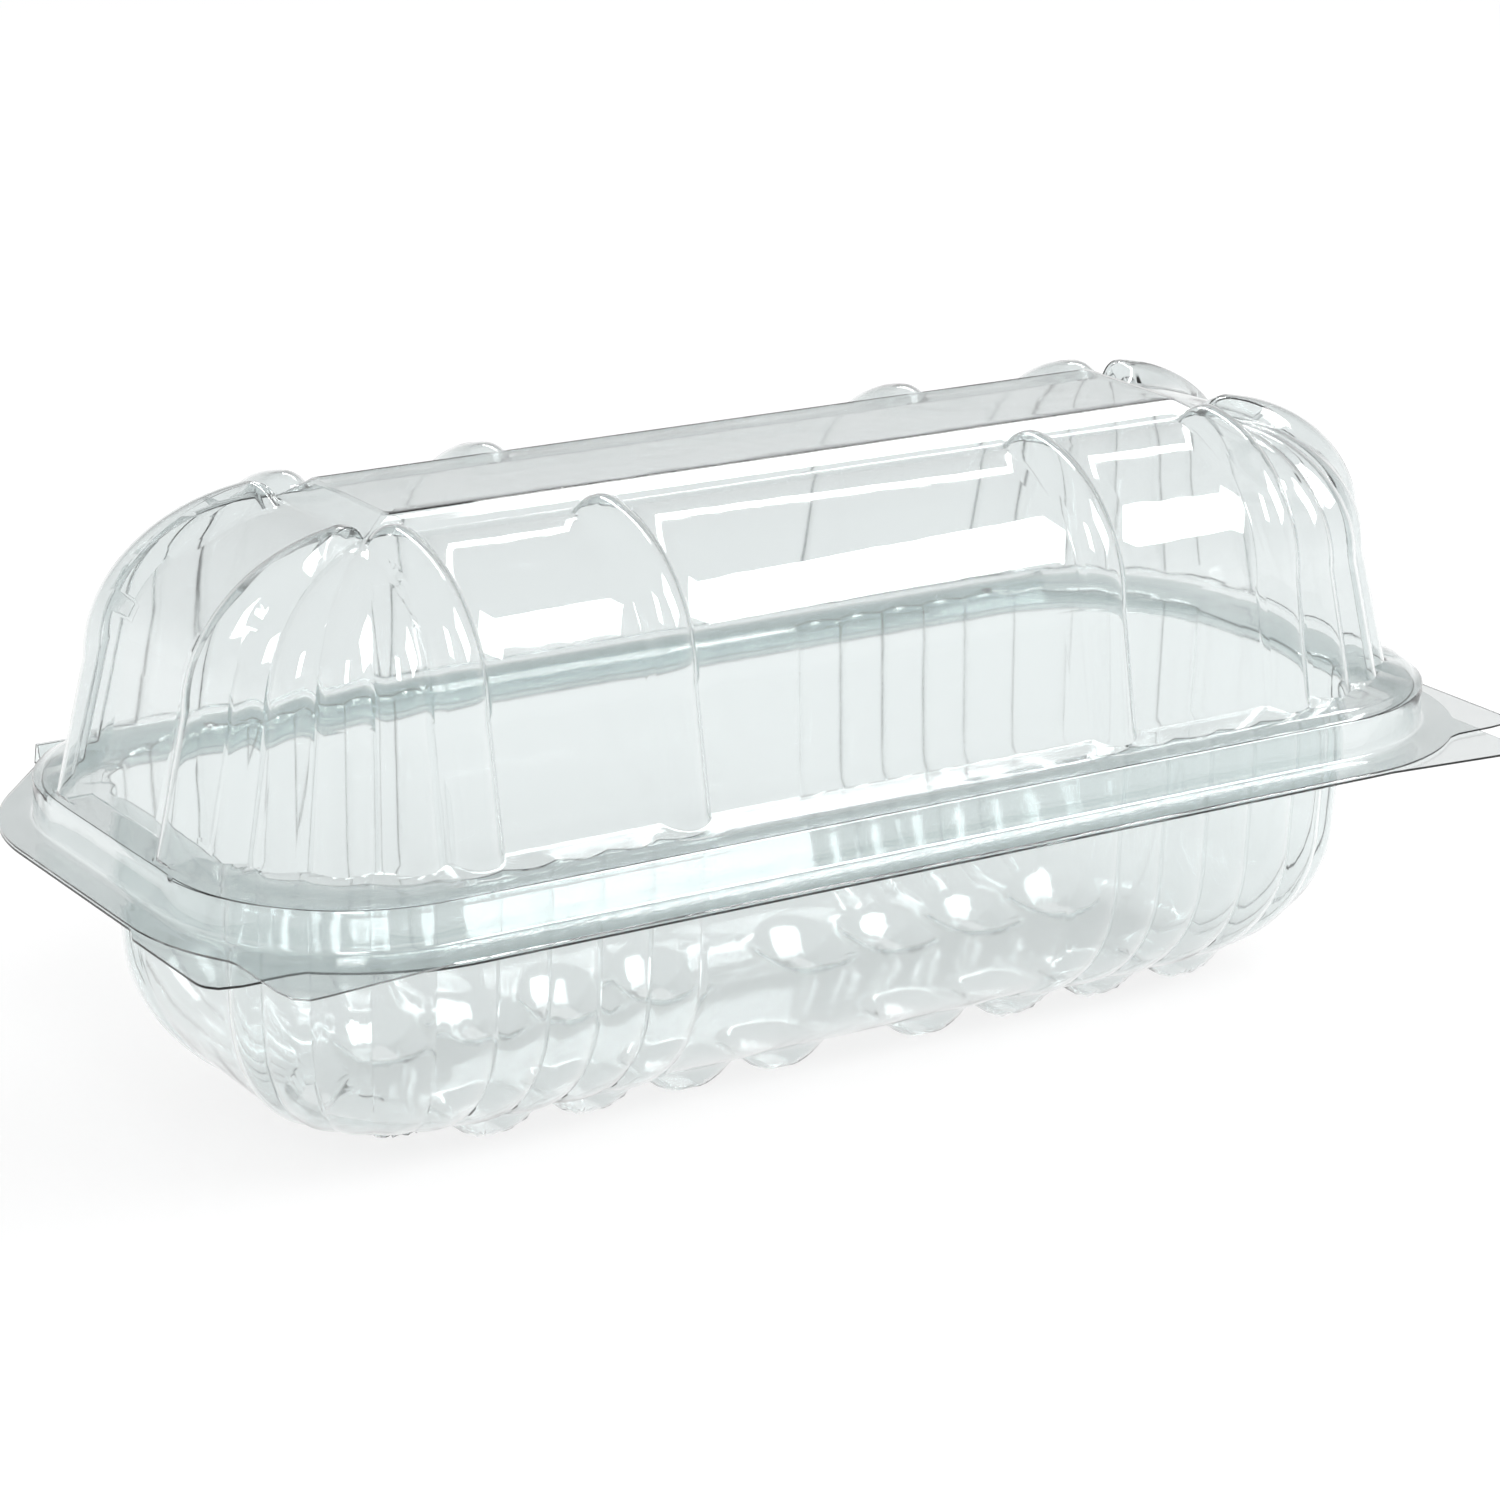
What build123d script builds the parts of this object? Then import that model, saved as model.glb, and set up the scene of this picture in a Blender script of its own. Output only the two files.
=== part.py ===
from build123d import *
import os
from math import cos, radians, sin

os.makedirs("parts", exist_ok=True)

# The sheet and the clearances
wall = 0.4
flange_gap = 0.3
rim_clearance = 0.8
hinge_gap = 0.3

# Heights above the table
base_height = 2.2
tray_spring = 31.0
flange_height = 51.0
bead_top = 58.5
rim_height = 59.0
shoulder_height = 60.2
dome_foot = 62.0
dome_spring = 84.0
dome_crown = 109.0
ridge_height = 112.0

# Half lengths and half depths of the lid, from the ridge down to the rim
ridge_x = 83.5
ridge_y = 13.7
core_x = 88.0
core_y = 15.7
dome_x = 126.0
dome_y = 48.4
foot_corner = 32.0
shoulder_x = 128.9
shoulder_y = 54.6
rim_x = 129.9
rim_y = 56.5
rim_corner = 34.8

# The dome's curve: its share of the reach where the crown starts, and where the crown ends
spring_share = 0.856
crown_turns = (0, 16, 32, 47, 60, 72, 84)

# Flutes and ribs of the lid
crease_x = 35.5
crease_y = 32.5
lid_creases = (12, 29, 47, 66, 85)
lid_swell = 0.24
flute_flat = 0.25
rib_half_width = 4.8
rib_rise = 3.4
rib_nose_turns = (66, 75, 82)
rib_nose_sizes = (1.0, 0.86, 0.45)
side_rib_x = 45.2
front_rib_x = 85.3
end_rib_turn = 6

# Half lengths and half depths of the tray, and its flutes
tray_x = 116.8
tray_y = 46.4
tray_draft = 0.04
base_x = 90.0
base_y = 14.0
under_turns = (90, 72, 54, 36, 18, 0)
panel_x = 40.0
flute_pitch = 10.0
side_flutes = 4
corner_flutes = 5
corner_share = 0.62
tray_swell = 0.18

# Feet across the base, counted from the left end
foot_pitch = 20.0
foot_radius = 11.5
foot_sink = 0.3
foot_tip_y = 23.0
foot_slope = 1.15
foot_root = 8.0
foot_end_x = 97.0
left_taper_x = -78.0
left_taper_y = 21.5
left_foot_x = -87.8
left_feet = 5
right_foot_x = 24.2
right_feet = 4

# Flanges and their lifting tabs
flange_x = 135.8
flange_y = 64.0
flange_corner = 42.0
tab_root = 99.0
front_tab_x = 128.8
front_tab_reach = 67.0
end_tab_y = 54.0
end_tab_reach = 137.4
tab_round = 5.0

# The fold that joins the two halves
hinge_half = 113.0
hinge_y = 65.0
hinge_height = 54.5
hinge_sink = 0.3


def flute(start, end, swell):
    """The two corners of a three-sided flute between its creases, and the crease that ends it."""
    across = (end[0] - start[0], end[1] - start[1])
    points = []
    for share in (flute_flat, 1 - flute_flat):
        x = start[0] + share * across[0] - swell * across[1]
        points.append((x, start[1] + share * across[1] + swell * across[0]))
    return points + [end]


def closed_outline(height, quarter):
    """A face at one height, from the points of its +X +Y quarter, end first."""
    back = quarter[::-1]
    points = []
    for side_x, side_y, run in ((1, 1, quarter), (-1, 1, back), (-1, -1, quarter), (1, -1, back)):
        points += [(side_x * x, side_y * y) for x, y in run]
    with BuildSketch(Plane.XY.offset(height)) as outline:
        with BuildLine():
            Polyline(*points, close=True)
        make_face()
    return outline.sketch


def oblong_at(height, half_x, half_y, corner):
    """A rectangle at one height, with round corners if corner isn't zero."""
    with BuildSketch(Plane.XY.offset(height)) as outline:
        Rectangle(2 * half_x, 2 * half_y)
        if corner:
            fillet(outline.vertices(), corner)
    return outline.sketch


def dome_levels():
    """Share of the reach, height and tilt of the dome's wall, from the foot to the crown."""
    levels = [(1.0, dome_foot, 0)]
    for turn in crown_turns:
        height = dome_spring + (dome_crown - dome_spring) * sin(radians(turn))
        levels.append((spring_share * cos(radians(turn)), height, turn))
    return levels


def dome_outline(share, height, turn, inset):
    """The dome's outline: smooth sides and ends, and fluted corners about the core's corners."""
    step_in = inset * cos(radians(turn))
    creases = []
    for crease in lid_creases:
        x = core_x + (share * crease_x - step_in) * cos(radians(crease))
        creases.append((x, core_y + (share * crease_y - step_in) * sin(radians(crease))))
    quarter = [(core_x + share * (dome_x - core_x) - step_in, core_y), creases[0]]
    for start, end in zip(creases, creases[1:]):
        quarter += flute(start, end, -lid_swell)
    quarter.append((front_rib_x, core_y + share * (dome_y - core_y) - step_in))
    return closed_outline(height - inset * sin(radians(turn)), quarter)


def rib_solid(x, y, outward, reach, inset):
    """A rib that runs down the dome in one upright plane, eight-sided, with a rounded nose on top."""
    radius = (rib_half_width**2 + rib_rise**2) / (2 * rib_rise)
    sink = rib_rise - radius
    upright = Plane(origin=(x, y, 0), x_dir=(*outward, 0), z_dir=(outward[1], -outward[0], 0))
    stations = [(reach + sink, shoulder_height - 1.0, 0, 1.0)]
    for share, height, turn in dome_levels():
        if turn < rib_nose_turns[0]:
            out = share * reach + sink * cos(radians(turn))
            stations.append((out, height + sink * sin(radians(turn)), turn, 1.0))
    for turn, size in zip(rib_nose_turns, rib_nose_sizes):
        out = (spring_share * reach + sink) * cos(radians(turn))
        up = dome_spring + (dome_crown - dome_spring + sink) * sin(radians(turn))
        stations.append((out, up, turn, size))
    slices = []
    for out, up, turn, size in stations:
        along = upright.from_local_coords(Vector(-sin(radians(turn)), cos(radians(turn)), 0))
        place = upright.from_local_coords(Vector(out, up, 0))
        with BuildSketch(Plane(origin=place, x_dir=upright.z_dir, z_dir=along - upright.origin)) as slice_:
            RegularPolygon((radius - inset) * size, 8, major_radius=False, rotation=22.5)
        slices.append(slice_.sketch)
    with BuildPart() as solid:
        loft(slices, ruled=True)
    return solid.part


def all_ribs(inset):
    """Two ribs on each long side, and one each side of every fluted corner."""
    made = []
    for side_x in (-1, 1):
        for side_y in (-1, 1):
            for x in (side_rib_x, front_rib_x):
                made.append(rib_solid(side_x * x, side_y * core_y, (0, side_y), dome_y - core_y, inset))
            outward = (side_x * cos(radians(end_rib_turn)), side_y * sin(radians(end_rib_turn)))
            made.append(rib_solid(side_x * core_x, side_y * core_y, outward, dome_x - core_x, inset))
    return made


def lid_form(inset):
    """The lid's outside as one solid, or its inside where an inset is given."""
    outlines = [dome_outline(1.0, shoulder_height - 1.0, 0, inset)]
    outlines += [dome_outline(*level, inset) for level in dome_levels()]
    crown = oblong_at(dome_crown - inset - 0.2, core_x - inset, core_y - inset, 0)
    ridge = oblong_at(ridge_height - inset, ridge_x - inset, ridge_y - inset, 0)
    low = flange_height - (1.0 if inset else 0)
    hem = oblong_at(low, rim_x - inset, rim_y - inset, rim_corner - inset)
    rim = oblong_at(rim_height - inset, rim_x - inset, rim_y - inset, rim_corner - inset)
    ledge = oblong_at(shoulder_height - inset, shoulder_x - inset, shoulder_y - inset, rim_corner - inset)
    foot = oblong_at(dome_foot - inset, dome_x - inset, dome_y - inset, foot_corner - inset)
    with BuildPart() as form:
        loft(outlines, ruled=True)
        loft([crown, ridge], ruled=True)
        loft([hem, rim, ledge, foot], ruled=True)
        add(all_ribs(inset))
    return form.part


def tray_outline(share, height, inset):
    """The tray's outline: fluted corners and side flutes, with smooth ends and middle panels."""
    lean = tray_draft * (height - flange_height) * share
    half_x = base_x + (tray_x - base_x) * share + lean - inset
    half_y = base_y + (tray_y - base_y) * share + lean - inset
    corner_x = panel_x + side_flutes * flute_pitch
    corner_y = half_y * (1 - corner_share)
    creases = []
    for step in range(corner_flutes + 1):
        turn = radians(90 * step / corner_flutes)
        x = corner_x + (half_x - corner_x) * cos(turn)
        creases.append((x, corner_y + (half_y - corner_y) * sin(turn)))
    for step in range(side_flutes):
        creases.append((corner_x - (step + 1) * flute_pitch, half_y))
    quarter = creases[:1]
    for start, end in zip(creases, creases[1:]):
        quarter += flute(start, end, -tray_swell)
    return closed_outline(height + inset * (1 - share), quarter)


def foot_plan(height, inset):
    """The plan that the feet keep to at one height, drawn in at the left end where the corner is rounder."""
    tip_y = foot_tip_y + foot_slope * (height - inset) - inset
    end_x = foot_end_x - inset
    points = [(end_x, tip_y), (left_taper_x, tip_y), (-end_x, tip_y - left_taper_y)]
    points += [(x, -y) for x, y in points[::-1]]
    with BuildSketch(Plane.XY.offset(height)) as outline:
        with BuildLine():
            Polyline(*points, close=True)
        make_face()
    return outline.sketch


def foot_solids(inset):
    """Half-round feet across the base, flat underneath, with their ends sloped up."""
    places = [left_foot_x + step * foot_pitch for step in range(left_feet)]
    places += [right_foot_x + step * foot_pitch for step in range(right_feet)]
    with BuildSketch(Plane.XZ.offset(-2 * base_y - 8)) as bars:
        with Locations([(place, foot_radius - foot_sink) for place in places]):
            Circle(foot_radius - inset)
    with BuildPart() as made:
        loft([foot_plan(inset, inset), foot_plan(foot_root + inset, inset)], ruled=True)
        extrude(bars.sketch, amount=4 * base_y + 16, mode=Mode.INTERSECT)
    return made.part.solids()


def tray_form(inset):
    """The tray's outside as one solid, or its inside where an inset is given."""
    outlines = []
    for turn in under_turns:
        height = base_height + (tray_spring - base_height) * (1 - sin(radians(turn)))
        outlines.append(tray_outline(cos(radians(turn)), height, inset))
    outlines.append(tray_outline(1.0, flange_height, inset))
    outlines.append(tray_outline(1.0, bead_top + (1.0 if inset else 0), inset))
    feet = foot_solids(inset)
    with BuildPart() as form:
        loft(outlines, ruled=True)
        add(feet)
    return form.part


def flange_outline(height, inner_x, inner_y, inner_corner, forward):
    """A flange round the rim. Its front tabs point forwards on one side and along the end on the other."""
    with BuildSketch(Plane.XY.offset(height)) as outline:
        RectangleRounded(2 * flange_x, 2 * flange_y, flange_corner)
        with BuildLine():
            Polyline((forward * front_tab_x, -end_tab_y + 8), (forward * front_tab_x, -front_tab_reach),
                     (forward * (tab_root + 12), -front_tab_reach + 1), (forward * tab_root, -flange_y),
                     (forward * tab_root, -end_tab_y + 8), close=True)
        make_face()
        with BuildLine():
            Polyline((-forward * flange_x, -flange_y + flange_corner), (-forward * end_tab_reach, -end_tab_y + 28),
                     (-forward * end_tab_reach, -end_tab_y), (-forward * (end_tab_reach - 18), -end_tab_y + 1),
                     (-forward * tab_root, -flange_y + flange_corner), close=True)
        make_face()
        tips = outline.vertices().group_by(Axis.Y)[0].sort_by(Axis.X)
        front = tips[0] if forward < 0 else tips[-1]
        ends = outline.vertices().filter_by(lambda point: abs(point.Y + end_tab_y) < 0.01)
        fillet([front, *ends], tab_round)
        RectangleRounded(2 * inner_x, 2 * inner_y, inner_corner, mode=Mode.SUBTRACT)
    return outline.sketch


bead_x = rim_x - wall - rim_clearance
bead_y = rim_y - wall - rim_clearance
bead_corner = rim_corner - wall - rim_clearance
tray_flange_height = flange_height - flange_gap - wall
flap_top = hinge_height - hinge_sink

# Lid: fluted dome, shoulder, rim and flange of one sheet, with its half of the fold
lid_outside = lid_form(0)
lid_inside = lid_form(wall)
lid_flange = flange_outline(flange_height, rim_x - wall, rim_y - wall, rim_corner - wall, -1)
with BuildPart() as lid:
    add(lid_outside)
    add(lid_inside, mode=Mode.SUBTRACT)
    extrude(lid_flange, amount=wall)
    with BuildSketch(Plane.YZ.offset(-hinge_half)) as lid_flap:
        with BuildLine():
            Polyline((flange_y - wall, flange_height), (flange_y, flange_height),
                     (hinge_y - hinge_gap / 2, flap_top), (hinge_y - hinge_gap / 2 - wall, flap_top), close=True)
        make_face()
    extrude(amount=2 * hinge_half)
lid.part.label = "lid"
export_step(lid.part, "parts/lid.step")

# Tray: fluted body on feet, with a raised bead that the lid's rim closes over
tray_outside = tray_form(0)
tray_inside = tray_form(wall)
tray_flange = flange_outline(tray_flange_height, bead_x - wall, bead_y - wall, bead_corner - wall, 1)
bead_outside = oblong_at(tray_flange_height, bead_x, bead_y, bead_corner)
bead_inside = oblong_at(tray_flange_height, bead_x - wall, bead_y - wall, bead_corner - wall)
with BuildPart() as tray:
    extrude(bead_outside, amount=bead_top - tray_flange_height)
    extrude(bead_inside, amount=bead_top - wall - tray_flange_height, mode=Mode.SUBTRACT)
    add(tray_outside)
    add(tray_inside, mode=Mode.SUBTRACT)
    extrude(tray_flange, amount=wall)
    with BuildSketch(Plane.YZ.offset(-hinge_half)) as tray_flap:
        fold_y = 2 * hinge_y - flange_y
        with BuildLine():
            Polyline((flange_y - 1, tray_flange_height), (fold_y + wall, tray_flange_height),
                     (hinge_y + hinge_gap / 2 + wall, flap_top), (hinge_y + hinge_gap / 2, flap_top),
                     (fold_y, tray_flange_height + wall), (flange_y - 1, tray_flange_height + wall), close=True)
        make_face()
    extrude(amount=2 * hinge_half)
tray.part.label = "tray"
export_step(tray.part, "parts/tray.step")
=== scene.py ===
from math import atan2, cos, pi, radians, sin

import bpy
import numpy as np
from mathutils import Matrix, Vector


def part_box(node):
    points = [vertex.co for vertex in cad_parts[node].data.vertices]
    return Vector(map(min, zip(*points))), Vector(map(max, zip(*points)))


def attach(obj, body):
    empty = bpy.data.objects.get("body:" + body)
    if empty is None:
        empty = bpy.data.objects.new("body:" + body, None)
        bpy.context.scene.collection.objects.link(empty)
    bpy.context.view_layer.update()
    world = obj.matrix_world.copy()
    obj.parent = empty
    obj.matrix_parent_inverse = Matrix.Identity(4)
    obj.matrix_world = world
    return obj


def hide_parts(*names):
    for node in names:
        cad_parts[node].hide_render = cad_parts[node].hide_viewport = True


bl_info = {
    "name": "Clear Baguette Container",
    "version": (1, 0, 0),
    "blender": (4, 5, 0),
    "location": "3D View > Sidebar > Container",
    "description": "Builds a hinged clear baguette container with fluted walls, and a studio to show it in",
    "category": "Add Mesh",
}

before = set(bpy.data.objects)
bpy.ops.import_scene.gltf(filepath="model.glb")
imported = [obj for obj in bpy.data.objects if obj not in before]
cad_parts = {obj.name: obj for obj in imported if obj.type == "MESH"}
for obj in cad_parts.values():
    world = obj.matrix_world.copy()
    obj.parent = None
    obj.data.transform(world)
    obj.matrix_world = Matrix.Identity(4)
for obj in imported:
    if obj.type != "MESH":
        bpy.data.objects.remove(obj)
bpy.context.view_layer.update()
lid_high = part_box("lid")[1]
tray_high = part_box("tray")[1]

# Heights, from the ridge of the lid down to the base of the tray
ridge_height = lid_high.z
crown_height = ridge_height - 0.003
spring_height = ridge_height - 0.028
foot_height = ridge_height - 0.050
shoulder_height = ridge_height - 0.0518
rim_height = ridge_height - 0.053
lid_flange_height = ridge_height - 0.0606
tray_flange_height = ridge_height - 0.0617
bead_height = tray_high.z - 0.0004
under_height = 0.031
base_height = 0.003

# Dome of the lid: the core that it spreads from, and its reach from the core to the foot
core_x = 0.088
core_y = 0.0157
reach_x = 0.038
reach_y = 0.0327
spring_share = 0.856
crown_edge = 0.0004
most_sunk = 0.9
crease_reach_x = 0.0355
crease_reach_y = 0.0325
lid_creases = (12, 29, 47, 66, 85)
lid_swell = 0.28

# Ribs of the lid
rib_half_width = 0.0048
rib_rise = 0.0034
rib_turn = 80
side_rib_x = 0.0452
front_rib_x = 0.0853
end_rib_turn = 6
rib_set_back = 0.0036
rib_slack = 0.00001
rib_margin = 0.0005
rib_radius = (rib_half_width**2 + rib_rise**2) / (2 * rib_rise)

# Outlines: half length, half depth and corner radius
ridge_outline = (0.0835, 0.0137, 0.0012)
foot_outline = (0.126, 0.0484, 0.032)
shoulder_outline = (0.1289, 0.0546, 0.0348)
rim_outline = (0.1299, 0.0565, 0.0348)
bead_outline = (0.1283, 0.0549, 0.0332)
flange_outline = (0.1358, 0.064, 0.042)

# Lifting tabs: one points forwards, one points along the end
front_tab = (0.1288, 0.067, 0.064, 0.099)
end_tab = (0.1374, 0.054, 0.022)
end_tab_slope = 0.4
tab_round = 0.005
tab_turns = (15, 30, 45, 60, 75)

# A flange has tabs only in front of front_y, and reaches to the fold only behind back_y
front_y = -0.02
back_y = 0.02

# The cut edge of the sheet is pinched to this share of its thickness
edge_share = 0.4

# Tray
tray_x = 0.1168
tray_y = 0.0464
tray_draft = 0.04
draft_height = 0.051
base_x = 0.09
base_y = 0.014
panel_x = 0.04
flute_pitch = 0.01
side_flutes = 4
corner_flutes = 5
corner_share = 0.62
tray_swell = 0.18

# Feet: short knuckles along both long edges of the base
foot_pitch = 0.02
left_foot_x = -0.0878
left_feet = 5
right_foot_x = 0.0242
right_feet = 4
foot_radius = 0.0115
foot_sink = 0.0003
foot_tip_y = 0.023
foot_inner_y = 0.0125
foot_slope = 0.75
foot_round = 0.0007
foot_blend = 0.001
foot_end_x = 0.097
left_taper_x = -0.078
left_taper_y = 0.0215

# Fold at the back
hinge_half = 0.113
hinge_y = 0.065
hinge_top = 0.0542
hinge_gap = 0.0003
flap_inset = 0.0002

# Where the vertices stand along one flute, from crease to crease
flute_steps = np.array([0.05, 0.15, 0.29, 0.43, 0.57, 0.71, 0.85, 0.95, 1.0])

# How many columns of points run down each part of a quarter of the lid
end_columns = 7
end_flute_columns = 15
corner_columns = 8
side_columns = (9, 8, 18, 12)

# Rings of the lid: shares of the way across each part, and turns up the dome in degrees
ridge_shares = (0, 0.25, 0.5, 0.75, 0.93)
bevel_shares = (0, 0.08, 0.35, 0.65, 0.92)
crown_turns = (88.5, 87.5, 86.5, 85.5, 84.5, 83.5, 82.5, 81.5, 80, 78)
dome_turns = (*crown_turns, *np.linspace(76, 0, 34))
wall_shares = (0.12, 0.3, 0.5, 0.7, 0.85, 0.93, 0.98, 1.0)
shoulder_shares = (0.06, 0.2, 0.5, 0.8, 0.94)
lid_flange_shares = (0.4, 0.9, 0.993, 1.0)

# Profiles of the rolled edges: how far out from the outline, and how far down or up
shoulder_edge = ((0.0, 0.0001), (0.0006, 0.0005))
rim_profile = ((0.0, 0.0), (0.0, 0.0008), (0.0, 0.0035), (0.0, 0.0062), (0.0001, 0.007), (0.0004, 0.0074),
               (0.001, 0.0076))
bead_profile = ((0.0004, 0.0002), (0.0001, 0.0006), (0.0, 0.0014), (0.0, 0.004), (0.0, 0.0068),
                (-0.0001, 0.0073), (-0.0004, 0.0077), (-0.001, 0.0078))
bead_edge = 0.001

# Rings of the tray: shares across the flange and the bead, heights down the wall, shares in across the base
tray_columns_end = 10
tray_columns_panel = 28
tray_flange_shares = (0, 0.007, 0.1, 0.6, 1.0)
bead_shares = (0.5, 0.93)
tray_heights = (0.0572, 0.0563, 0.0545, 0.052, 0.0495, 0.047, 0.044, 0.041, 0.038, 0.0355, 0.033)
wall_top_edge = 0.0001
wall_top_drop = 0.0003
under_rings = 42
base_shares = (0.9, 0.78, 0.64, 0.5, 0.36, 0.22, 0.1, 0)

# Vertices nearer than this are merged, and edges sharper than this stay sharp
touching = 0.000002
sharp_angle = radians(40)

# Softboxes: the way they stand from the object, how far, their width and height, and how bright they look
softboxes = (
    ((0.54, -0.53, 0.66), 1.3, (0.6, 0.6), 12),
    ((0.62, 0.52, 0.874), 1.2, (0.8, 0.085), 13),
    ((-0.4, -0.64, 0.67), 1.3, (0.3, 0.4), 12),
)
softbox_spill = 0.25

# Camera: where it stands and the way back from what it looks at
eye = Vector((-0.4266, -0.6512, 0.3075))
view_back = Vector((-0.52, -0.7956, 0.3108)).normalized()


def four_quarters(quarter):
    """A closed run of points from the ones between the +X end and the +Y side, its first point repeated."""
    flip_x = quarter * [-1, 1]
    flip_y = quarter * [1, -1]
    return np.concatenate([quarter, flip_x[::-1][1:], -quarter[1:], flip_y[::-1][1:]])


def flute_arc(start, end, swell):
    """Points along a flute that swells outwards between two creases, its last crease included."""
    chord = end - start
    outward = np.array([chord[1], -chord[0]])
    swelling = swell * (1 - (2 * flute_steps - 1) ** 2)
    return start + flute_steps[:, None] * chord + swelling[:, None] * outward


def lid_columns():
    """For each column round the lid, its anchor on the core and its offset from there at the foot."""
    anchors = [(core_x, y) for y in np.linspace(0, core_y, end_columns)]
    offsets = [(reach_x, 0)] * end_columns
    creases = []
    for turn in lid_creases:
        creases.append(np.array([crease_reach_x * cos(radians(turn)), crease_reach_y * sin(radians(turn))]))
    for share in np.linspace(0, 1, end_flute_columns + 1)[1:]:
        anchors.append((core_x, core_y))
        offsets.append((1 - share) * np.array([reach_x, 0]) + share * creases[0])
    for start, end in zip(creases, creases[1:]):
        for point in flute_arc(start, end, lid_swell):
            anchors.append((core_x, core_y))
            offsets.append(point)
    for share in np.linspace(0, 1, corner_columns + 1)[1:]:
        anchors.append((core_x + share * (front_rib_x - core_x), core_y))
        offsets.append((1 - share) * creases[-1] + share * np.array([0, reach_y]))
    clear = rib_half_width + rib_margin
    stops = (front_rib_x, front_rib_x - clear, side_rib_x + clear, side_rib_x - clear, 0)
    for start, end, count in zip(stops, stops[1:], side_columns):
        for x in np.linspace(start, end, count + 1)[1:]:
            anchors.append((x, core_y))
            offsets.append((0, reach_y))
    return four_quarters(np.array(anchors)), four_quarters(np.array(offsets))


def unit_ways(offsets):
    """The direction of each column, as unit vectors in plan."""
    return offsets / np.linalg.norm(offsets, axis=1)[:, None]


def outline_points(anchors, offsets, outline, grow=0.0):
    """Where each column meets a rectangle with round corners."""
    half_x, half_y, corner = (size + grow for size in outline)
    start = np.abs(anchors)
    way = np.abs(unit_ways(offsets))
    with np.errstate(divide="ignore"):
        to_end = (half_x - start[:, 0]) / way[:, 0]
        to_side = (half_y - start[:, 1]) / way[:, 1]
    gap = start - [half_x - corner, half_y - corner]
    along = (gap * way).sum(1)
    to_corner = np.sqrt(np.maximum(along**2 - (gap**2).sum(1) + corner**2, 0)) - along
    meets_end = start[:, 1] + np.minimum(to_end, 1) * way[:, 1] <= half_y - corner
    meets_side = start[:, 0] + np.minimum(to_side, 1) * way[:, 0] <= half_x - corner
    reach = np.where(meets_end, to_end, np.where(meets_side, to_side, to_corner))
    return anchors + reach[:, None] * np.sign(offsets) * way


def reach_to_sides(start, way, sides):
    """How far each column runs before it leaves a convex outline given by the sides' normals and levels."""
    slowest = 1e-6
    exits = []
    for normal, level in sides:
        speed = way @ np.array(normal)
        room = level - start @ np.array(normal)
        exits.append(np.where(speed > slowest, room / np.maximum(speed, slowest), np.inf))
    return np.min(exits, axis=0)


def tab_sides():
    """The sides of the front tab's outline and of the end tab's, as normals and levels."""
    tab_x, tip_y, root_y, root_x = front_tab
    far_x, far_y, near_y = end_tab
    slope = (tip_y - root_y) / (tab_x - root_x)
    front = [((1, 0), tab_x), ((-slope, 1), root_y - slope * root_x)]
    end = [((1, 0), far_x), ((0, 1), far_y)]
    end.append(((1, -end_tab_slope), flange_outline[0] - end_tab_slope * near_y))
    for turn in tab_turns:
        normal = np.array([cos(radians(turn)), sin(radians(turn))])
        for sides, tip in ((front, (tab_x, tip_y)), (end, (far_x, far_y))):
            sides.append((normal, normal @ (np.array(tip) - tab_round) + tab_round))
    return front, end


def flange_points(anchors, offsets, forward):
    """The edge of a flange: back corners out to the fold, a front tab on the forward side and an end tab."""
    plain = outline_points(anchors, offsets, flange_outline)
    base = np.linalg.norm(plain - anchors, axis=1)
    start = np.abs(anchors)
    way = np.abs(unit_ways(offsets))
    front, end = tab_sides()
    to_front_tab = np.maximum(base, reach_to_sides(start, way, front))
    to_end_tab = np.maximum(base, reach_to_sides(start, way, end))
    tab = np.where(anchors[:, 0] * forward > 0, to_front_tab, to_end_tab)
    far = np.where(plain[:, 1] < front_y, tab, base)
    half_x, half_y, corner = flange_outline
    middle = np.array([half_x, half_y]) - corner
    lean = 2 * atan2(corner, hinge_half - middle[0]) - pi / 2
    normal = np.array([cos(lean), sin(lean)])
    to_fold = reach_to_sides(start, way, [((0, 1), half_y), (normal, normal @ middle + corner)])
    at_back = (plain[:, 1] > back_y) & ((np.abs(plain) - middle) @ [-normal[1], normal[0]] > 0)
    far = np.where(at_back, np.maximum(base, to_fold), far)
    return anchors + far[:, None] * np.sign(offsets) * way


def at_height(points, height):
    """Plan points lifted to one height, or each to its own."""
    return np.column_stack([points, np.broadcast_to(height, len(points))])


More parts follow.
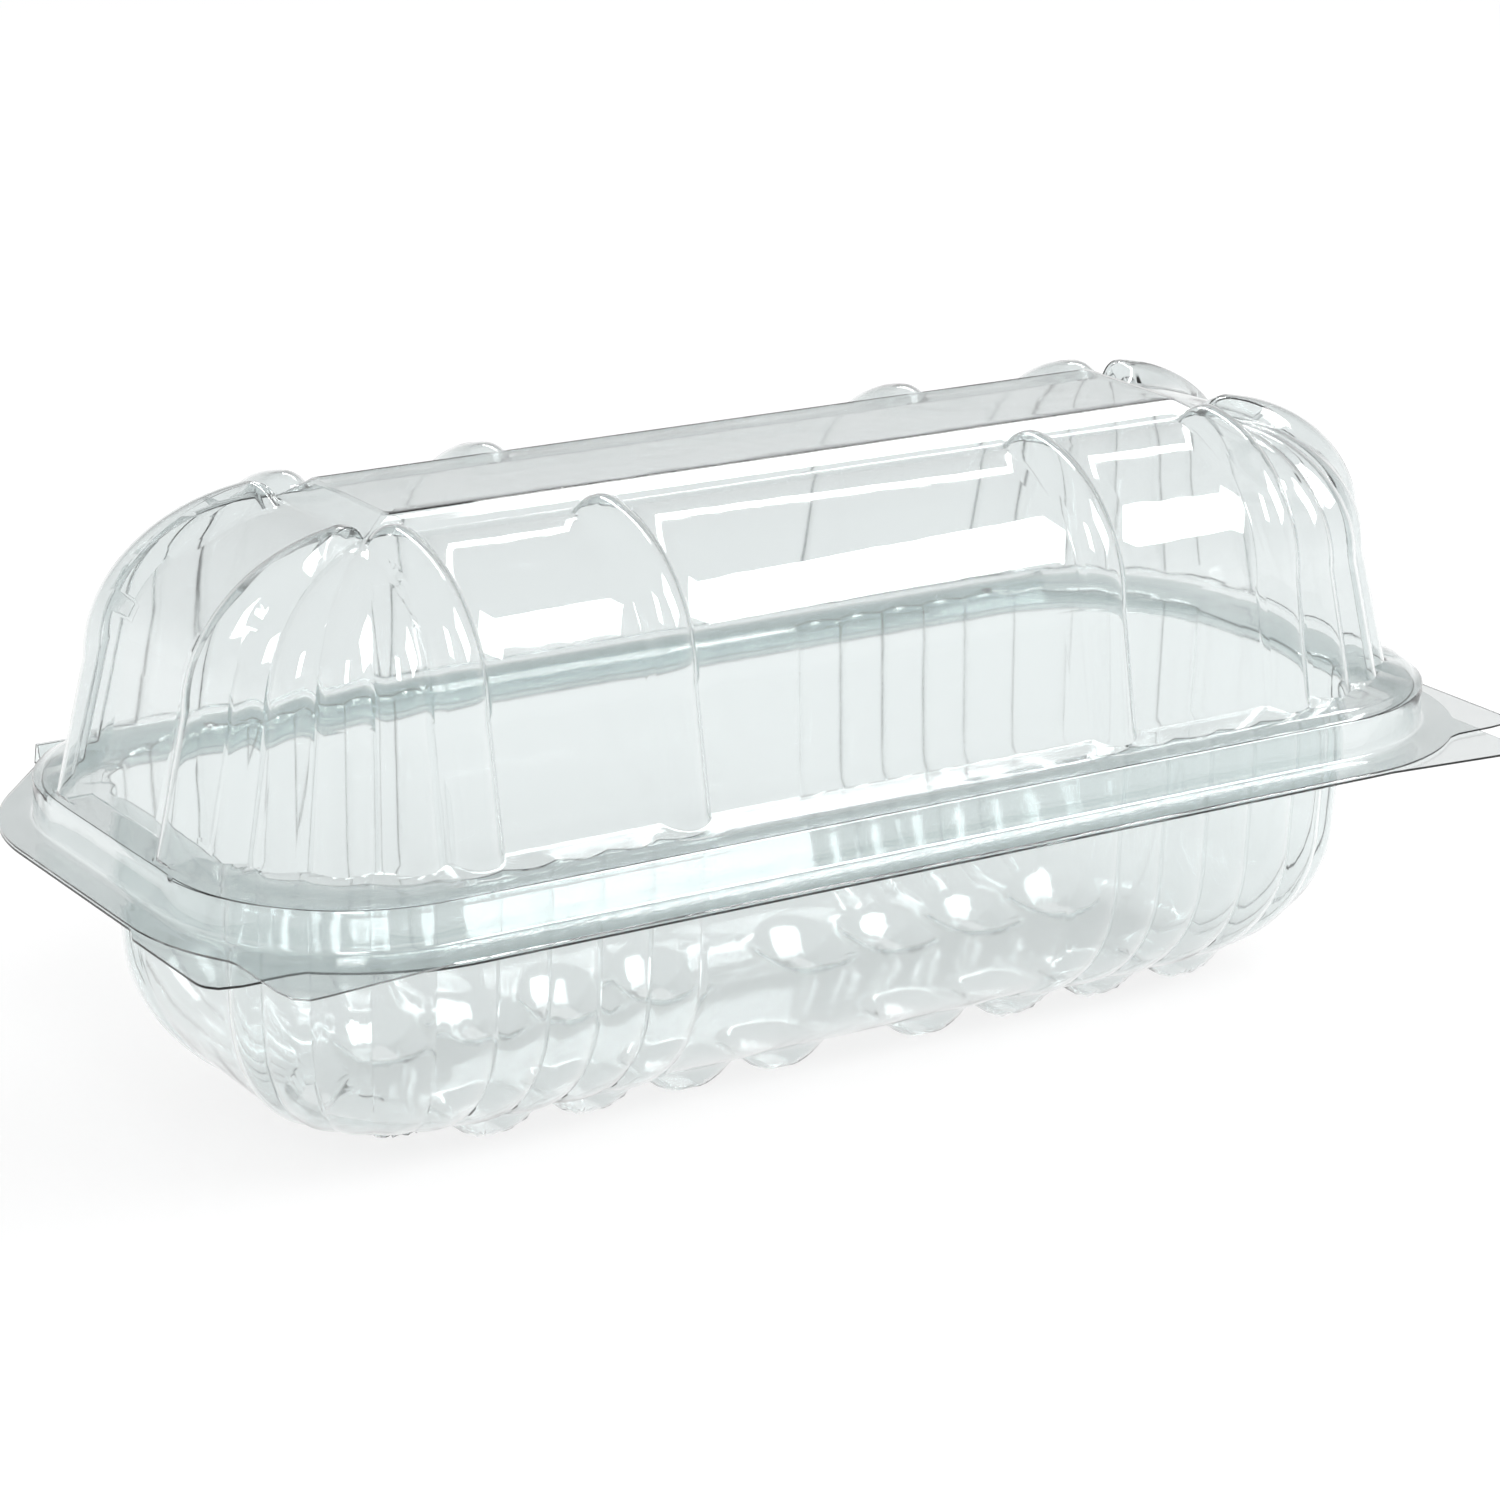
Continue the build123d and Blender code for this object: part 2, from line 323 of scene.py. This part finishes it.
def dome_ring(anchors, offsets, share, height, turn):
    """One ring of the dome, pushed out where a rib runs down it."""
    ring = at_height(anchors + share * offsets, height)
    sides = np.sign(np.where(ring[:, :2] == 0, 1, ring[:, :2]))
    plan = np.abs(ring[:, :2])
    lean = radians(end_rib_turn)
    ribs = [((side_rib_x, core_y), (0, 1), reach_y), ((front_rib_x, core_y), (0, 1), reach_y),
            ((core_x, core_y), (cos(lean), sin(lean)), reach_x)]
    for foot, outward, reach in ribs:
        outward = np.array(outward)
        from_foot = plan - np.array(foot)
        across = from_foot @ np.array([-outward[1], outward[0]])
        out = from_foot @ outward
        past = radians(max(0, turn - rib_turn)) * spring_share * reach
        room = rib_radius**2 - across**2 - past**2
        depth = np.sqrt(np.maximum(room, 0)) - (rib_radius - rib_rise)
        near = (room > 0) & (out > share * (reach - rib_set_back) - rib_slack)
        push = share * reach + depth * cos(radians(turn)) - out
        push = np.where(near & (push > 0) & ((depth > 0) | (past == 0)), push, 0)
        plan = plan + push[:, None] * outward
        ring[:, 2] += np.where(near, np.maximum(depth, 0) * sin(radians(turn)), 0)
    ring[:, :2] = plan * sides
    ring[:, 2] = np.minimum(ring[:, 2], ridge_height)
    return ring


def lid_rings():
    """The outside of the lid as rings of points, from the middle of its ridge to the edge of its flange."""
    anchors, offsets = lid_columns()
    rings = []
    half_x, half_y, corner = ridge_outline
    way = unit_ways(offsets)
    edge = anchors * [(half_x - corner) / core_x, (half_y - corner) / core_y] + corner * way
    for share in ridge_shares:
        middle = np.clip(edge, [half_y - half_x, 0], [half_x - half_y, 0])
        rings.append(at_height(middle + share * (edge - middle), ridge_height))
    core = anchors + crown_edge * way
    for share in bevel_shares:
        height = ridge_height + share * (crown_height - ridge_height)
        rings.append(at_height(edge + share * (core - edge), height))
    for turn in dome_turns:
        height = spring_height + (crown_height - spring_height) * sin(radians(turn))
        rings.append(dome_ring(anchors, offsets, spring_share * cos(radians(turn)), height, turn))
    foot = dome_ring(anchors, offsets, 1.0, foot_height, 0)
    inner = outline_points(anchors, offsets, foot_outline)
    outer = outline_points(anchors, offsets, shoulder_outline)
    past = ((foot[:, :2] - inner) * way).sum(1) / ((outer - inner) * way).sum(1)
    foot[:, 2] -= np.clip(past, 0, most_sunk) * (foot_height - shoulder_height)
    for share in wall_shares:
        height = spring_height + share * (foot[:, 2] - spring_height)
        rings.append(dome_ring(anchors, offsets, spring_share + share * (1 - spring_share), height, 0))
    edge = at_height(outer, shoulder_height)
    for share in shoulder_shares:
        rings.append(foot + share * (edge - foot))
    for outline, top, profile in ((shoulder_outline, shoulder_height, shoulder_edge),
                                  (rim_outline, rim_height, rim_profile)):
        for grow, drop in profile:
            rings.append(at_height(outline_points(anchors, offsets, outline, grow), top - drop))
    inner = rings[-1]
    rim = at_height(flange_points(anchors, offsets, -1), lid_flange_height)
    for share in lid_flange_shares:
        rings.append(inner + share * (rim - inner))
    return rings


def tray_plan(half_x, half_y, swell):
    """The outline of the tray at one level: smooth ends, fluted corners and sides, smooth middle panels."""
    corner_x = panel_x + side_flutes * flute_pitch
    corner_y = half_y * (1 - corner_share)
    quarter = [(half_x, y) for y in np.linspace(0, corner_y, tray_columns_end)]
    creases = []
    for step in range(corner_flutes + 1):
        turn = radians(90 * step / corner_flutes)
        x = corner_x + (half_x - corner_x) * cos(turn)
        creases.append(np.array([x, corner_y + (half_y - corner_y) * sin(turn)]))
    for step in range(side_flutes):
        creases.append(np.array([corner_x - (step + 1) * flute_pitch, half_y]))
    for start, end in zip(creases, creases[1:]):
        quarter.extend(flute_arc(start, end, swell))
    quarter.extend((x, half_y) for x in np.linspace(panel_x, 0, tray_columns_panel + 1)[1:])
    return four_quarters(np.array(quarter))


def foot_drop(ring, steepness):
    """A ring of the tray's underside, let down to the feet where they stand lower."""
    places = [left_foot_x + step * foot_pitch for step in range(left_feet)]
    places += [right_foot_x + step * foot_pitch for step in range(right_feet)]
    centre = foot_radius - foot_sink
    nothing = 1.0
    low = np.full(len(ring), nothing)
    for place in places:
        room = foot_radius**2 - (ring[:, 0] - place) ** 2
        low = np.minimum(low, np.where(room > 0, centre - np.sqrt(np.maximum(room, 0)), nothing))
    drawn_in = np.clip((left_taper_x - ring[:, 0]) / (left_taper_x + foot_end_x), 0, 1) * left_taper_y
    outward = np.maximum((np.abs(ring[:, 1]) - foot_tip_y + drawn_in) / foot_slope, 0)
    inward = np.maximum(foot_inner_y - drawn_in - np.abs(ring[:, 1]), 0)
    low = np.where(low < nothing, np.maximum(low, 0) + outward + inward, low)
    ring = ring.copy()
    soft = foot_round + foot_blend * steepness
    mixed = np.clip(0.5 + 0.5 * (ring[:, 2] - low) / soft, 0, 1)
    ring[:, 2] += mixed * (low - ring[:, 2]) - soft * mixed * (1 - mixed)
    ring[:, 2] = np.maximum(ring[:, 2], 0)
    return ring


def tray_rings():
    """The underside of the tray as rings of points, from the edge of its flange to the middle of its base."""
    lean = tray_draft * (bead_height - draft_height)
    top = tray_plan(tray_x + lean, tray_y + lean, tray_swell)
    corner = np.array([panel_x + side_flutes * flute_pitch, tray_y * (1 - corner_share)])
    anchors = np.clip(top, -corner, corner)
    offsets = top - anchors
    way = unit_ways(offsets)
    rim = at_height(flange_points(anchors, offsets, 1), tray_flange_height)
    inner = at_height(outline_points(anchors, offsets, bead_outline, bead_edge), tray_flange_height)
    rings = [rim + share * (inner - rim) for share in tray_flange_shares]
    for grow, rise in bead_profile:
        plan = outline_points(anchors, offsets, bead_outline, grow)
        rings.append(at_height(plan, tray_flange_height + rise))
    bead = outline_points(anchors, offsets, bead_outline, -bead_edge)
    for share in bead_shares:
        rings.append(at_height(bead + share * (top - bead), bead_height))
    rings.append(at_height(top + wall_top_edge * way, bead_height - wall_top_drop))
    for height in tray_heights:
        lean = tray_draft * (height - draft_height)
        rings.append(at_height(tray_plan(tray_x + lean, tray_y + lean, tray_swell), height))
    for turn in np.linspace(90, 0, under_rings):
        share = sin(radians(turn))
        height = base_height + (under_height - base_height) * (1 - cos(radians(turn)))
        lean = tray_draft * (height - draft_height) * share
        half_x = base_x + (tray_x - base_x) * share + lean
        half_y = base_y + (tray_y - base_y) * share + lean
        rings.append(foot_drop(at_height(tray_plan(half_x, half_y, tray_swell), height), share))
    for share in base_shares:
        half_x = corner[0] + (base_x - corner[0]) * share
        plan = tray_plan(half_x, base_y * share, tray_swell * share)
        rings.append(foot_drop(at_height(plan, base_height), 0))
    return rings


def select_only(piece):
    """Selects one piece and makes it the active one."""
    bpy.ops.object.select_all(action="DESELECT")
    piece.select_set(True)
    bpy.context.view_layer.objects.active = piece


def sheet_from_rings(name, rings, wall, faces_down):
    """A sheet of plastic whose outer face follows the rings. A tray's outer face looks down, a lid's up."""
    bpy.ops.object.select_all(action="DESELECT")
    bpy.ops.mesh.primitive_grid_add(x_subdivisions=len(rings[0]) - 1, y_subdivisions=len(rings) - 1,
                                    size=1, location=(0, 0, 0))
    piece = bpy.context.object
    piece.name = name
    piece.data.name = name
    piece.data.vertices.foreach_set("co", np.concatenate(rings).astype(np.float32).ravel())
    bpy.ops.object.mode_set(mode="EDIT")
    bpy.ops.mesh.select_all(action="SELECT")
    bpy.ops.mesh.remove_doubles(threshold=touching)
    bpy.ops.mesh.dissolve_degenerate(threshold=touching)
    bpy.ops.mesh.normals_make_consistent(inside=False)
    bpy.ops.object.mode_set(mode="OBJECT")
    face = min(piece.data.polygons, key=lambda side: side.center.z if faces_down else -side.center.z)
    bpy.ops.object.mode_set(mode="EDIT")
    if (face.normal.z < 0) != faces_down:
        bpy.ops.mesh.flip_normals()
    bpy.ops.mesh.select_mode(type="VERT")
    bpy.ops.mesh.select_all(action="DESELECT")
    bpy.ops.mesh.select_non_manifold()
    bpy.ops.object.vertex_group_assign_new()
    bpy.ops.object.mode_set(mode="OBJECT")
    thicken = piece.modifiers.new("Sheet", "SOLIDIFY")
    thicken.thickness = wall
    thicken.offset = -1
    thicken.vertex_group = piece.vertex_groups[0].name
    thicken.invert_vertex_group = True
    thicken.thickness_vertex_group = edge_share
    bpy.ops.object.modifier_apply(modifier=thicken.name)
    bpy.ops.object.shade_smooth_by_angle(angle=sharp_angle)
    return piece


def fold_flap(name, profile):
    """One half of the fold: a narrow strip along the back whose profile is given in Y and Z."""
    bpy.ops.object.select_all(action="DESELECT")
    bpy.ops.mesh.primitive_grid_add(x_subdivisions=1, y_subdivisions=len(profile), size=1)
    piece = bpy.context.object
    piece.name = name
    run = np.array([*profile, profile[0]])
    rows = [[(x, y, z) for x in (-hinge_half, hinge_half)] for y, z in run]
    piece.data.vertices.foreach_set("co", np.array(rows, np.float32).ravel())
    bpy.ops.object.mode_set(mode="EDIT")
    bpy.ops.mesh.select_all(action="SELECT")
    bpy.ops.mesh.remove_doubles(threshold=touching)
    bpy.ops.mesh.fill_holes(sides=0)
    bpy.ops.mesh.normals_make_consistent(inside=False)
    bpy.ops.object.mode_set(mode="OBJECT")
    return piece


def join_pieces(piece, *others):
    """Makes the others part of a piece's own mesh."""
    select_only(piece)
    for other in others:
        other.select_set(True)
    bpy.ops.object.join()
    return piece


def check_closed(piece):
    """Stops with an error if the piece is empty or has an open edge."""
    loops = np.empty(len(piece.data.loops), np.int32)
    piece.data.loops.foreach_get("edge_index", loops)
    uses = np.bincount(loops, minlength=len(piece.data.edges))
    if len(uses) == 0 or (uses < 2).any():
        raise RuntimeError(f"{piece.name} has {(uses < 2).sum()} open edges")


def ripple_group():
    """Slow waves in formed sheet, as a height."""
    group = bpy.data.node_groups.new("Sheet waves", "ShaderNodeTree")
    group.interface.new_socket("Size", in_out="INPUT", socket_type="NodeSocketFloat")
    group.interface.new_socket("Height", in_out="OUTPUT", socket_type="NodeSocketFloat")
    inlet = group.nodes.new("NodeGroupInput")
    outlet = group.nodes.new("NodeGroupOutput")
    place = group.nodes.new("ShaderNodeTexCoord")
    waves = group.nodes.new("ShaderNodeTexNoise")
    waves.inputs["Detail"].default_value = 2
    group.links.new(place.outputs["Object"], waves.inputs["Vector"])
    group.links.new(inlet.outputs["Size"], waves.inputs["Scale"])
    group.links.new(waves.outputs["Fac"], outlet.inputs["Height"])
    return group


def clear_plastic(name, tint, waves):
    """Clear formed sheet with slow waves in its surface."""
    material = bpy.data.materials.new(name)
    material.use_nodes = True
    nodes = material.node_tree.nodes
    links = material.node_tree.links
    shader = nodes["Principled BSDF"]
    shader.inputs["Base Color"].default_value = (*tint, 1)
    shader.inputs["Transmission Weight"].default_value = 1
    shader.inputs["Roughness"].default_value = 0.04
    shader.inputs["IOR"].default_value = 1.55
    ripple = nodes.new("ShaderNodeGroup")
    ripple.node_tree = waves
    ripple.inputs["Size"].default_value = 60
    bump = nodes.new("ShaderNodeBump")
    bump.inputs["Strength"].default_value = 0.16
    bump.inputs["Distance"].default_value = 0.0006
    links.new(ripple.outputs["Height"], bump.inputs["Height"])
    links.new(bump.outputs["Normal"], shader.inputs["Normal"])
    return material


def only_material(piece, material):
    """Gives a piece one material and no other."""
    piece.data.materials.clear()
    piece.data.materials.append(material)


def pale_floor(size, glow_share):
    """A white floor that mostly glows, so that it stays white, and keeps a faint shadow."""
    bpy.ops.object.select_all(action="DESELECT")
    bpy.ops.mesh.primitive_plane_add(size=size, location=(0, 0, 0))
    floor = bpy.context.object
    floor.name = "floor"
    paint = bpy.data.materials.new("Pale floor")
    paint.use_nodes = True
    nodes = paint.node_tree.nodes
    links = paint.node_tree.links
    matt = nodes["Principled BSDF"]
    matt.inputs["Base Color"].default_value = (0.95, 0.95, 0.95, 1)
    matt.inputs["Roughness"].default_value = 1
    matt.inputs["Specular IOR Level"].default_value = 0
    glow = nodes.new("ShaderNodeEmission")
    mix = nodes.new("ShaderNodeMixShader")
    mix.inputs["Fac"].default_value = glow_share
    links.new(matt.outputs["BSDF"], mix.inputs[1])
    links.new(glow.outputs["Emission"], mix.inputs[2])
    links.new(mix.outputs["Shader"], nodes["Material Output"].inputs["Surface"])
    floor.data.materials.append(paint)


def studio_world(scene, room_light):
    """Even light from all round, and a backdrop that is white low down and greyer overhead."""
    world = bpy.data.worlds.new("Studio")
    scene.world = world
    world.use_nodes = True
    nodes = world.node_tree.nodes
    links = world.node_tree.links
    light = nodes["Background"]
    light.inputs["Color"].default_value = (room_light, room_light, room_light, 1)
    way = nodes.new("ShaderNodeTexCoord")
    split = nodes.new("ShaderNodeSeparateXYZ")
    fade = nodes.new("ShaderNodeMapRange")
    fade.inputs["From Min"].default_value = 0.04
    fade.inputs["From Max"].default_value = 0.35
    fade.inputs["To Min"].default_value = 1
    fade.inputs["To Max"].default_value = 0.42
    links.new(way.outputs["Generated"], split.inputs["Vector"])
    links.new(split.outputs["Z"], fade.inputs["Value"])
    backdrop = nodes.new("ShaderNodeBackground")
    links.new(fade.outputs["Result"], backdrop.inputs["Color"])
    path = nodes.new("ShaderNodeLightPath")
    seen = path.outputs["Is Camera Ray"]
    for kind in ("Is Glossy Ray", "Is Transmission Ray"):
        either = nodes.new("ShaderNodeMath")
        either.operation = "MAXIMUM"
        links.new(seen, either.inputs[0])
        links.new(path.outputs[kind], either.inputs[1])
        seen = either.outputs[0]
    mix = nodes.new("ShaderNodeMixShader")
    links.new(seen, mix.inputs["Fac"])
    links.new(light.outputs["Background"], mix.inputs[1])
    links.new(backdrop.outputs["Background"], mix.inputs[2])
    links.new(mix.outputs["Shader"], nodes["World Output"].inputs["Surface"])


def softbox(way, far, size, glow):
    """A rectangular lamp that faces the object and looks as bright as its glow says."""
    place = Vector(way).normalized() * far
    bpy.ops.object.light_add(type="AREA", location=place)
    lamp = bpy.context.object
    lamp.data.shape = "RECTANGLE"
    lamp.data.size = size[0]
    lamp.data.size_y = size[1]
    lamp.data.energy = glow * pi * size[0] * size[1]
    lamp.data.diffuse_factor = softbox_spill
    lamp.rotation_euler = place.to_track_quat("Z", "Y").to_euler()


def photo_camera(scene, lens, roll):
    """The camera at the photo's viewing angle."""
    right = Vector((0, 0, 1)).cross(view_back).normalized()
    up = view_back.cross(right)
    turn = Matrix((right, up, view_back)).transposed().to_4x4() @ Matrix.Rotation(roll, 4, "Z")
    bpy.ops.object.camera_add(location=eye)
    camera = bpy.context.object
    camera.matrix_world = Matrix.Translation(eye) @ turn
    camera.data.lens = lens
    camera.data.sensor_width = 36
    scene.camera = camera


class ContainerSizes(bpy.types.PropertyGroup):
    wall: bpy.props.FloatProperty(
        name="Sheet", description="Thickness of the plastic sheet", default=0.0004, unit="LENGTH")
    lid_tint: bpy.props.FloatVectorProperty(
        name="Lid tint", description="Colour of the lid's sheet", subtype="COLOR", size=3,
        default=(0.87, 0.896, 0.896))
    tray_tint: bpy.props.FloatVectorProperty(
        name="Tray tint", description="Colour of the tray's sheet", subtype="COLOR", size=3,
        default=(0.87, 0.902, 0.901))


class StudioSettings(bpy.types.PropertyGroup):
    floor_size: bpy.props.FloatProperty(
        name="Floor", description="Side of the square floor", default=8, unit="LENGTH")
    floor_glow: bpy.props.FloatProperty(
        name="Floor glow", description="Share of the floor's white that needs no light", default=0.82,
        subtype="FACTOR")
    room_light: bpy.props.FloatProperty(
        name="Room light", description="Strength of the even light from all round", default=0.85,
        subtype="FACTOR")
    lens: bpy.props.FloatProperty(
        name="Lens", description="Focal length of the camera", default=107.4, unit="CAMERA")
    roll: bpy.props.FloatProperty(
        name="Roll", description="How far the camera leans to one side", default=radians(0.92),
        subtype="ANGLE")


class CONTAINER_OT_lid(bpy.types.Operator):
    """Build the domed lid with its ribs, rim, flange and half of the fold"""
    bl_idname = "container.lid"
    bl_label = "Lid"

    def execute(self, context):
        sizes = context.scene.container_sizes
        wall = sizes.wall
        lid = sheet_from_rings("lid_dome", lid_rings(), wall, False)
        near = flange_outline[1]
        top = hinge_y - hinge_gap / 2
        low = lid_flange_height - wall
        flap = fold_flap("lid_flap", [(near - wall, low), (near, low), (top, hinge_top),
                                      (top - wall, hinge_top)])
        lid = join_pieces(lid, flap)
        check_closed(lid)
        only_material(lid, clear_plastic("Clear lid sheet", sizes.lid_tint, ripple_group()))
        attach(lid, "lid")
        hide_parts("lid")
        return {"FINISHED"}


class CONTAINER_OT_tray(bpy.types.Operator):
    """Build the fluted tray with its feet, bead, flange and half of the fold"""
    bl_idname = "container.tray"
    bl_label = "Tray"

    def execute(self, context):
        sizes = context.scene.container_sizes
        wall = sizes.wall
        tray = sheet_from_rings("tray_body", tray_rings(), wall, True)
        near = flange_outline[1] - flap_inset
        fold = 2 * hinge_y - flange_outline[1]
        top = hinge_y + hinge_gap / 2
        low = tray_flange_height
        flap = fold_flap("tray_flap", [(near, low), (fold + wall, low), (top + wall, hinge_top),
                                       (top, hinge_top), (fold, low + wall), (near, low + wall)])
        tray = join_pieces(tray, flap)
        check_closed(tray)
        only_material(tray, clear_plastic("Clear tray sheet", sizes.tray_tint, ripple_group()))
        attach(tray, "tray")
        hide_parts("tray")
        return {"FINISHED"}


class CONTAINER_OT_studio(bpy.types.Operator):
    """Build the floor, the lamps, the world and the camera"""
    bl_idname = "container.studio"
    bl_label = "Studio"

    def execute(self, context):
        scene = context.scene
        studio = scene.studio_settings
        scene.view_settings.view_transform = "Standard"
        scene.cycles.max_bounces = 32
        scene.cycles.transmission_bounces = 32
        scene.cycles.glossy_bounces = 16
        pale_floor(studio.floor_size, studio.floor_glow)
        studio_world(scene, studio.room_light)
        for way, far, size, glow in softboxes:
            softbox(way, far, size, glow)
        photo_camera(scene, studio.lens, studio.roll)
        return {"FINISHED"}


class CONTAINER_PT_panel(bpy.types.Panel):
    """Lists the pieces and the studio, and what can be set for them"""
    bl_label = "Clear baguette container"
    bl_idname = "CONTAINER_PT_panel"
    bl_space_type = "VIEW_3D"
    bl_region_type = "UI"
    bl_category = "Container"

    def draw(self, context):
        for settings in (context.scene.container_sizes, context.scene.studio_settings):
            for name in settings.__annotations__:
                self.layout.prop(settings, name)
        for kind in operators:
            self.layout.operator(kind.bl_idname)


operators = (CONTAINER_OT_lid, CONTAINER_OT_tray, CONTAINER_OT_studio)
classes = (ContainerSizes, StudioSettings, *operators, CONTAINER_PT_panel)


def register():
    for kind in classes:
        bpy.utils.register_class(kind)
    bpy.types.Scene.container_sizes = bpy.props.PointerProperty(type=ContainerSizes)
    bpy.types.Scene.studio_settings = bpy.props.PointerProperty(type=StudioSettings)


def unregister():
    del bpy.types.Scene.studio_settings
    del bpy.types.Scene.container_sizes
    for kind in reversed(classes):
        bpy.utils.unregister_class(kind)


def main():
    register()
    bpy.ops.container.lid()
    bpy.ops.container.tray()
    bpy.ops.container.studio()


if __name__ == "__main__":
    main()
